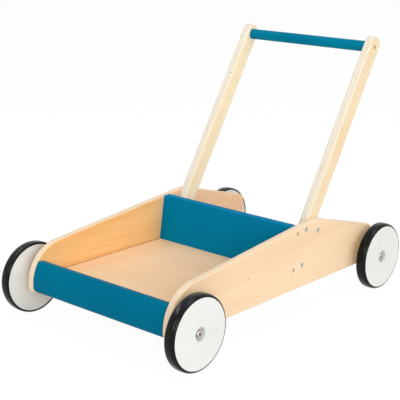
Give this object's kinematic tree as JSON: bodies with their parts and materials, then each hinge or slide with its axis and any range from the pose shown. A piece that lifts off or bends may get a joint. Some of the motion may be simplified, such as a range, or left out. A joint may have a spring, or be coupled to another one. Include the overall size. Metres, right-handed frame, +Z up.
{
  "type": "baby push walker",
  "caption": "Wooden baby push walker: a low open tray between curved side panels, on rubber-tyred disc wheels, with a leaning frame handle and a round grip bar.",
  "frame": {"origin": "on the floor, midway between the axles and on the middle plane", "axes": "+X to the walker's side seen nearest in the picture, +Y from the nose towards the handle, +Z up"},
  "size_m": [0.367, 0.594, 0.4314],
  "materials": {
    "panel_wood": "satin clear lacquer on pale plywood",
    "base_wood": "satin clear lacquer on pale plywood",
    "post_wood": "satin clear lacquer on pale plywood edge and face",
    "spacer_wood": "sanded bare wood",
    "teal_paint": "satin paint",
    "bar_paint": "satin paint",
    "white_paint": "satin paint",
    "tyre_rubber": "matt",
    "steel": "zinc plated",
    "washer_steel": "zinc plated",
    "brass": "plain"
  },
  "bodies": {
    "chassis": {"side_panel_left": "panel_wood", "side_panel_right": "panel_wood", "base_board": "base_wood", "front_board": "teal_paint", "back_board": "teal_paint", "handle_post_left": "post_wood", "handle_post_right": "post_wood", "handle_bar": "bar_paint", "spacer_front_left": "spacer_wood", "spacer_front_right": "spacer_wood", "spacer_rear_left": "spacer_wood", "spacer_rear_right": "spacer_wood", "axle_sleeve_front_left": "steel", "axle_sleeve_front_right": "steel", "axle_sleeve_rear_left": "steel", "axle_sleeve_rear_right": "steel", "hub_washer_front_left": "washer_steel", "hub_washer_front_right": "washer_steel", "hub_washer_rear_left": "washer_steel", "hub_washer_rear_right": "washer_steel", "wheel_bolt_front_left": "steel", "wheel_bolt_front_right": "steel", "wheel_bolt_rear_left": "steel", "wheel_bolt_rear_right": "steel", "axle_inserts_left": "brass", "axle_inserts_right": "brass", "handle_bolts_left": "steel", "handle_bolts_right": "steel", "sleeve_nut_left": "steel", "sleeve_nut_right": "steel", "back_board_screws_left": "steel", "back_board_screws_right": "steel", "bar_screw_left": "brass", "bar_screw_right": "brass", "handle_inserts_left": "brass", "handle_inserts_right": "brass", "front_dowels_left": "spacer_wood", "front_dowels_right": "spacer_wood"},
    "wheel_front_left": {"wheel_disc_front_left": "white_paint", "tyre_front_left": "tyre_rubber"},
    "wheel_front_right": {"wheel_disc_front_right": "white_paint", "tyre_front_right": "tyre_rubber"},
    "wheel_rear_left": {"wheel_disc_rear_left": "white_paint", "tyre_rear_left": "tyre_rubber"},
    "wheel_rear_right": {"wheel_disc_rear_right": "white_paint", "tyre_rear_right": "tyre_rubber"}
  },
  "joints": [
    {"name": "wheel_front_left_spin", "type": "hinge", "parent": "chassis", "child": "wheel_front_left", "pos_m": [-0.17525, -0.239, 0.058], "axis": [1, 0, 0], "continuous": true},
    {"name": "wheel_front_right_spin", "type": "hinge", "parent": "chassis", "child": "wheel_front_right", "pos_m": [0.17525, -0.239, 0.058], "axis": [1, 0, 0], "continuous": true},
    {"name": "wheel_rear_left_spin", "type": "hinge", "parent": "chassis", "child": "wheel_rear_left", "pos_m": [-0.17525, 0.239, 0.058], "axis": [1, 0, 0], "continuous": true},
    {"name": "wheel_rear_right_spin", "type": "hinge", "parent": "chassis", "child": "wheel_rear_right", "pos_m": [0.17525, 0.239, 0.058], "axis": [1, 0, 0], "continuous": true}
  ]
}
